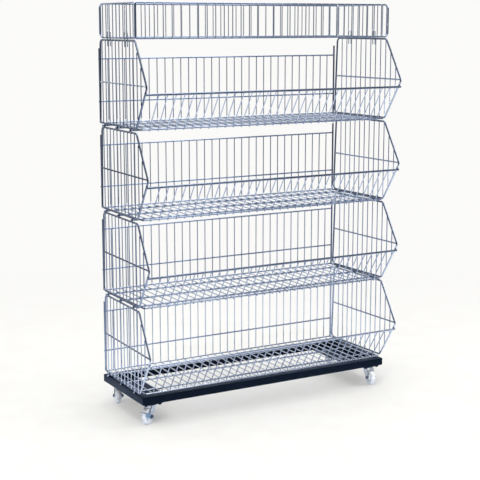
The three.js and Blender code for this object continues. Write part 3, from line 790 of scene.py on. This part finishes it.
# Tube round the base: a round-cornered square carried along a rectangle, stretched at its four mitres
def baseTube(look):
    section = roundedRectangle(look["tube"], look["tube"], look["corner"], steps=6)
    inset, sides = look["tube"] / 2, look["beadSides"]
    x, rear, front = look["half"] - inset, look["rear"] + inset, look["front"] - inset
    corners = at([-x, x, x, -x], [front, front, rear, rear], look["bottomZ"] + inset)
    outward = at([-1, 1, 1, -1], [1, 1, -1, -1], 0) - at(0, 0, 0)
    rings = corners[:, None] + section[None, :, :1] * outward[:, None] + section[None, :, 1:] * alongZ
    points = rings.reshape(-1, 3)
    quads = ringQuads(len(corners), len(section), closed=True)[:, ::-1]
    shapes = [(points, quads, noTris, np.zeros(len(points)))]
    for corner, out in zip(corners, outward):  # ground-down bead along each mitre and up each outer corner
        top = corner + (inset - look["topBeadSink"]) * alongZ
        along = (inset - look["topBeadShort"]) * out
        shapes.append(roundWire([top - along, top + along], look["topBead"], alongZ, sides))
        edge = corner + (inset - look["edgeBeadSink"]) * out
        up = (inset - look["edgeBeadShort"]) * alongZ
        shapes.append(roundWire([edge - up, edge + up], look["edgeBead"], alongX, sides))
    return shapes


# End plate between the front and rear tubes, with stitches of weld against the end tube
def basePlate(look, side):
    depth = look["front"] - look["rear"] - 2 * look["tube"] - look["plateClear"]
    middle = at(side * look["plateX"], (look["rear"] + look["front"]) / 2, look["bottomZ"])
    outline = roundedRectangle(look["plateWide"], depth, look["plateCorner"])
    shapes = [plate(outline, look["plateThick"], middle, alongX, alongY)]
    rise = look["plateThick"] + look["stitchRise"]
    edge = middle + side * look["plateWide"] / 2 * alongX + rise * alongZ
    seams = np.linspace(-look["seamSpan"], look["seamSpan"], look["seams"])[:, None] * depth * alongY
    for bead in np.linspace(-look["stitchSpan"], look["stitchSpan"], look["stitches"]):
        shapes.append(weldSpots(edge + bead * alongY + seams, alongX, alongY, look["stitch"]))
    return shapes


rails = [f"base_{name}_rail" for name in ("front", "right", "rear", "left")]
makePiece("base_tube_frame", baseTube(baseLook), "base", rails, coat, crease=60)
for name, side in hands:
    shapes = basePlate(baseLook, side)
    makePiece(f"base_{name}_end_plate", shapes, "base", [f"base_{name}_plate"], coat)
print("base made")

# Casters. Profiles are pairs of radius and height; race and ring are measured from the crown's edge.

casterLook = dict(
    front=275.0, rear=35.0, x=411.0, trail=20.0, axleZ=25.0, crown=17.0,
    headings=dict(front_left=216.0, front_right=-98.0, rear_left=240.0, rear_right=37.0),
)
topLook = dict(
    bottom=62.2, thick=2.5, long=62.0, wide=50.0, corner=6.0, boltX=23.5, boltY=17.5,
    raceBottom=58.6, race=((-13.0, 0), (-2.0, 0), (-0.6, 0.4), (0, 1.3), (-0.3, 2.6), (1.2, 3.9)),
    pinDrop=10.1, pin=((4.6, 0), (6.6, 0.5), (7.0, 1.4), (6.8, 2.4), (4.2, 2.6), (4.0, 10.4)),
    flange=((5.6, -0.9), (6.0, -0.5), (6.0, 0.2)), boltHead=5.0, boltTall=3.6, boltDrop=4.2,
)


# Top plate, and below it the upper ring of the ball race, the kingpin with its head and four flanged bolts
def casterPlate(look, x, reach):
    middle = at(x, reach, look["bottom"])
    outline = roundedRectangle(look["long"], look["wide"], look["corner"], steps=6)
    race = np.array([casterLook["crown"], look["raceBottom"]]) + look["race"]
    shapes = [
        plate(outline, look["thick"], middle, alongX, alongY),
        turned(race, at(x, reach, 0), alongZ, alongX, sides=44),
        turned(look["pin"], middle - look["pinDrop"] * alongZ, alongZ, alongX, sides=28),
    ]
    for sx, sy in ((-1, -1), (-1, 1), (1, -1), (1, 1)):
        spot = middle + sx * look["boltX"] * alongX + sy * look["boltY"] * alongY
        head = spot - look["boltDrop"] * alongZ
        shapes.append(turned(look["flange"], spot, alongZ, alongX, sides=24))
        shapes.append(plate(hexagon(look["boltHead"]), look["boltTall"], head, alongX, alongY))
    return shapes


forkLook = dict(
    top=58.2, bottom=54.9, gap=10.2, cheek=2.5, topHalf=15.5, notch=0.3,
    eye=9.0, eyeArc=(216, 374), eyeSteps=18,
    ring=((-12.4, 0), (-1.5, 0), (-0.3, 0.5), (0, 1.4), (-0.5, 2.8), (-1.6, 3.3), (-12.4, 3.3)),
)


# Fork: the lower ring of the ball race, and a cheek each side that narrows to a round eye:
# eye(f) = axle + eye (cos f, sin f)
def casterFork(look, foot, ahead, aside):
    bottom, half = look["bottom"], look["topHalf"]
    ring = np.array([casterLook["crown"], bottom]) + look["ring"]
    shapes = [turned(ring, foot, alongZ, ahead, sides=44, closed=True)]
    shoulder = (look["top"] + bottom) / 2
    f = np.radians(np.linspace(*look["eyeArc"], look["eyeSteps"]))
    axle = np.array([casterLook["trail"], casterLook["axleZ"]])
    eye = axle + look["eye"] * np.stack([np.cos(f), np.sin(f)], -1)
    back = [[-half, shoulder], [-half, bottom - look["notch"]]]
    outline = np.concatenate([back, eye, [[half, shoulder]]])
    for start in (-look["gap"], look["gap"] + look["cheek"]):
        shapes.append(plate(outline, look["cheek"], foot + start * aside, ahead, alongZ))
    return shapes


wheelLook = dict(
    radius=25.0, half=9.0, hub=9.0, bore=3.4, crown=0.9,
    boss=((-1.0, 0), (0, -0.8), (0.6, -3.4)),  # from the hub's edge, and rim from the tread's
    rim=((-7.4, -4), (-6.2, -2.6), (-5.6, -1.5), (-3.4, -1.6), (-1.6, -2.3), (-0.5, -3.6), (-0.1, -5.4)),
    dish=(0.3, 6.8), dishShade=0.8, tread=3.0, treadFade=2.0,
)


# Wheel: hub boss, dished web with a raised rim, and a tread with a low crown; the profile is mirrored
def casterWheel(look, hub, aside, ahead):
    r, w, boss = look["radius"], look["half"], look["hub"]
    web = np.concatenate([np.array([boss, w]) + look["boss"], np.array([r, w]) + look["rim"]])
    half = np.concatenate([[(look["bore"], w)], web, [(r, look["crown"])]])
    profile = np.concatenate([half, half[::-1] * [1, -1]])[::-1]
    points, quads, tris, _ = turned(profile, hub, aside, ahead, sides=56, closed=True)
    # Tones on the wheel: dirt on the tread, and painted shade in the dished web
    far = np.linalg.norm((points - hub) - ((points - hub) @ aside)[:, None] * aside, axis=-1)
    inDish = (far > boss + look["dish"][0]) & (far < r - look["dish"][1])
    onTread = np.clip((far - (r - look["tread"])) / look["treadFade"], 0, 1)
    return [(points, quads, tris, np.maximum(look["dishShade"] * inDish, onTread))]  # tread dirt, and painted shade in the dish


axleLook = dict(
    radius=3.0, head=5.5, tall=4.0, seat=13.0, ease=0.6, stub=1.2, stubEase=0.6,
    washer=((0.8, 0), (1.0, 0.2), (0.8, 0.5)), washerThick=0.5,  # from the head's edge
)


# Axle: a shank with a hexagon head at one end, and a washer and a nut at the other
def casterAxle(look, hub, aside, ahead, extra):
    nut, r, tall, ease = look["seat"] + extra, look["radius"], look["tall"], look["ease"]
    tip, up = nut + tall + look["stub"], np.cross(aside, ahead)
    shank = [(r, -look["seat"]), (r, tip), (r - look["stubEase"], tip + look["stubEase"])]
    washer = np.array([look["head"], 0]) + look["washer"]
    head, cap = hub - (look["seat"] + tall) * aside, hub + (nut + look["washerThick"]) * aside
    outline = hexagon(look["head"])
    return [
        turned(shank, hub, aside, ahead, sides=20),
        plate(outline, tall, head, ahead, up, ease),
        turned(washer, hub + nut * aside, aside, ahead, sides=24),
        plate(outline, tall - look["washerThick"], cap, ahead, up, ease),
    ]


brakeLook = dict(
    thick=2.0, half=7.0, rise=25.0, start=28.0, reach=37.0, seat=13.0, across=-10.2, axleRoom=2.3,
    chamfer=1.5, ease=0.4, eyeSteps=16, tabCorner=2.0, tabDrop=1.0, tabShort=1.0, tabNarrow=0.6,
)


# Brake lever: an arm with a round eye on the axle, eye(f) = half (cos f, sin f), and a foot tab
# bent across the tread
def casterBrake(look, hub, aside, ahead):
    rise, half, end, cut = math.radians(look["rise"]), look["half"], look["reach"], look["chamfer"]
    along = math.cos(rise) * ahead + math.sin(rise) * alongZ
    up = -math.sin(rise) * ahead + math.cos(rise) * alongZ
    f = np.linspace(math.pi / 2, 1.5 * math.pi, look["eyeSteps"])
    eye = half * np.stack([np.cos(f), np.sin(f)], -1)
    tip = [[end - cut, -half], [end, cut - half], [end, half - cut], [end - cut, half]]
    outer = look["seat"] + look["thick"]
    arm = plate(np.concatenate([tip, eye]), look["thick"], hub + outer * aside, along, up, look["ease"])
    wide = outer - look["across"]
    middle = hub + (look["start"] + end) / 2 * along + (look["across"] + wide / 2) * aside
    middle = middle + (half - look["thick"] - look["tabDrop"]) * up
    tabLong = end - look["start"] - look["tabShort"]
    outline = roundedRectangle(tabLong, wide - look["tabNarrow"], look["tabCorner"])
    return [arm, plate(outline, look["thick"], middle, along, aside, look["ease"])]


def makeCaster(look, name):
    x = look["x"] * (-1 if "left" in name else 1)
    reach = look["front"] if "front" in name else look["rear"]
    heading = math.radians(look["headings"][name])
    ahead = np.array([math.cos(heading), math.sin(heading), 0.0])
    aside = np.array([-math.sin(heading), math.cos(heading), 0.0])
    foot = at(x, reach, 0)
    hub = foot + look["trail"] * ahead + look["axleZ"] * alongZ
    node, swivel = f"caster_{name}", f"swivel_{name}"
    shapes = casterPlate(topLook, x, reach)
    makePiece(f"{node}_top_plate", shapes, "base", [f"{node}_plate"], coat)
    shapes = casterFork(forkLook, foot, ahead, aside)
    makePiece(f"{node}_pressed_fork", shapes, swivel, [f"{node}_fork"], zinc)
    shapes = casterWheel(wheelLook, hub, aside, ahead)
    makePiece(f"{node}_moulded_wheel", shapes, f"wheel_{name}", [f"{node}_wheel"], nylon)
    braked = name == "front_left"
    shapes = casterAxle(axleLook, hub, aside, ahead, brakeLook["axleRoom"] if braked else 0.0)
    makePiece(f"{node}_axle_bolt", shapes, swivel, [f"{node}_axle"], steel)
    if braked:
        shapes = casterBrake(brakeLook, hub, aside, ahead)
        makePiece(f"{node}_brake_lever", shapes, f"brake_{name}", [f"{node}_brake"], blueZinc)


for name in casterLook["headings"]:
    makeCaster(casterLook, name)
print("casters made")

# Stage, light and camera, in metres

stageLook = dict(
    inner=(0.01, 1.5, 3.5), flat=5.6, rise=2.6, wall=5.0, steps=24, sides=96, rough=0.8,
    colour=(0.86, 0.845, 0.80), fleck=(0.82, 0.795, 0.73), bounce=(0.74, 0.785, 0.86),
    wallTone=(0.175, 0.197, 0.24), white=(0.965, 0.96, 0.945), fadeStart=0.3, fadeEnd=2.6, fadeLeast=0.3,
    darkStart=0.6, darkEnd=1.7, highStart=1.2, highEnd=2.8, rearDark=0.4,
    darkSide=(-0.505, -0.863, 0), sideStart=-0.4, sideEnd=0.3,
)


def makeFloorFinish(look):
    material, tree, shader = newMaterial("paleFloor")
    clouds = placeGroup(tree, mottleGroup, Size=9.0, Detail=6.0, Low=0.3, High=0.7)
    place = addNode(tree, "ShaderNodeTexCoord").outputs["Object"]
    height = addNode(tree, "ShaderNodeSeparateXYZ", Vector=place).outputs["Z"]
    flat = vectorMaths(tree, "MULTIPLY", place, (1, 1, 0), result="Vector")
    away = vectorMaths(tree, "LENGTH", flat)
    toward = maths(tree, "DIVIDE", vectorMaths(tree, "DOT_PRODUCT", flat, look["darkSide"]), away)
    ray = addNode(tree, "ShaderNodeLightPath").outputs
    # To rays that don't come from the camera the floor is bluish, and far off it is dark,
    # in front all the way up and at the rear low down and only in part
    unseen = maths(tree, "SUBTRACT", 1, ray["Is Camera Ray"])
    distant = remap(tree, away, look["darkStart"], look["darkEnd"], smooth=True)
    front = remap(tree, toward, look["sideStart"], look["sideEnd"], smooth=True)
    low = remap(tree, height, look["highEnd"], look["highStart"], 0, look["rearDark"], smooth=True)
    sides = maths(tree, "MAXIMUM", front, low)
    dark = maths(tree, "MULTIPLY", maths(tree, "MULTIPLY", distant, sides), unseen)
    base = mixColours(tree, clouds, look["colour"], look["fleck"])
    base = mixColours(tree, unseen, base, look["bounce"])
    base = mixColours(tree, dark, base, look["wallTone"])
    tree.links.new(base, shader.inputs["Base Color"])
    shader.inputs["Roughness"].default_value = look["rough"]
    # Straight from the camera, or mirrored from behind the rack, the far floor and the wall fade to white
    far = remap(tree, away, look["fadeStart"], look["fadeEnd"], look["fadeLeast"], smooth=True)
    rear = maths(tree, "SUBTRACT", 1, sides)
    watched = maths(tree, "MULTIPLY_ADD", ray["Is Glossy Ray"], rear, ray["Is Camera Ray"], use_clamp=True)
    white = addNode(tree, "ShaderNodeEmission", Color=(*look["white"], 1), Strength=1.0)
    blend = addNode(tree, "ShaderNodeMixShader", Fac=maths(tree, "MULTIPLY", far, watched))
    tree.links.new(shader.outputs["BSDF"], blend.inputs[1])
    tree.links.new(white.outputs["Emission"], blend.inputs[2])
    tree.links.new(blend.outputs["Shader"], tree.nodes["Material Output"].inputs["Surface"])
    return material


# Floor that curves up into a wall all round: radius(s) and height(s) turned about the middle
def makeStage(look):
    f = np.linspace(0, math.pi / 2, look["steps"])
    edge, sides = look["flat"] + look["rise"], look["sides"]
    radius = np.concatenate([look["inner"], look["flat"] + look["rise"] * np.sin(f), [edge]])
    height = np.concatenate([np.zeros(len(look["inner"])), look["rise"] * (1 - np.cos(f)), [look["wall"]]])
    j = np.arange(sides)
    t = j * 2 * math.pi / sides
    around = np.cos(t)[:, None] * alongX + np.sin(t)[:, None] * alongY
    rings = radius[:, None, None] * around + height[:, None, None] * alongZ
    points = np.concatenate([rings.reshape(-1, 3), [[0, 0, 0]]])
    middle = np.stack([j, (j + 1) % sides, np.full(sides, len(points) - 1)], -1)
    mesh = bpy.data.meshes.new("studioFloor")
    mesh.from_pydata(points.tolist(), [], ringQuads(len(radius), sides)[:, ::-1].tolist() + middle.tolist())
    mesh.polygons.foreach_set("use_smooth", np.ones(len(mesh.polygons), bool))
    mesh.materials.append(makeFloorFinish(look))
    floor = bpy.data.objects.new("studioFloor", mesh)
    bpy.context.scene.collection.objects.link(floor)


makeStage(stageLook)


def addLamp(name, place, aim, size, power, mirrored=True):
    lamp = bpy.data.lights.new(name, "AREA")
    lamp.shape = "RECTANGLE"
    lamp.size, lamp.size_y = size
    lamp.energy = power
    holder = bpy.data.objects.new(name, lamp)
    holder.location = place
    holder.rotation_euler = (Vector(aim) - Vector(place)).to_track_quat("-Z", "Y").to_euler()
    holder.visible_camera = False
    holder.visible_glossy = mirrored
    bpy.context.scene.collection.objects.link(holder)


addLamp("overheadSoftbox", (0, 0.3, 4.6), aim=(0, 0, 0), size=(4.5, 4.5), power=190)
addLamp("leftSoftbox", (-3.6, -2.6, 2.9), aim=(0, 0, 0.6), size=(1.6, 2.4), power=95, mirrored=False)
addLamp("rightSoftbox", (3.8, -1.6, 2.6), aim=(0, 0, 0.6), size=(1.4, 2.2), power=55)
addLamp("lowFill", (-0.4, -3.9, 0.5), aim=(0.1, 0, 0.1), size=(2.8, 0.7), power=40, mirrored=False)

skyLook = dict(colour=(0.88, 0.92, 1.0), strength=0.45)


def makeSky(look):
    world = bpy.data.worlds.new("studioAir")
    bpy.context.scene.world = world
    world.use_nodes = True
    sky = world.node_tree.nodes["Background"]
    sky.inputs["Color"].default_value = (*look["colour"], 1)
    sky.inputs["Strength"].default_value = look["strength"]


makeSky(skyLook)

cameraLook = dict(
    place=(-1.92447, -3.29284, 1.21275), yaw=-29.79, pitch=-10.30, lens=89.44, sensor=36, clipEnd=100,
)


def makeCamera(look):
    data = bpy.data.cameras.new("photoCamera")
    data.lens, data.sensor_width = look["lens"], look["sensor"]
    data.clip_end = look["clipEnd"]
    camera = bpy.data.objects.new("photoCamera", data)
    yaw, pitch = math.radians(look["yaw"]), math.radians(look["pitch"])
    ahead = Vector((-math.sin(yaw) * math.cos(pitch), math.cos(yaw) * math.cos(pitch), math.sin(pitch)))
    camera.location = look["place"]
    camera.rotation_euler = ahead.to_track_quat("-Z", "Y").to_euler()
    bpy.context.scene.collection.objects.link(camera)
    bpy.context.scene.camera = camera


makeCamera(cameraLook)
bpy.context.scene.view_settings.view_transform = "Standard"
print("stage, light and camera made")
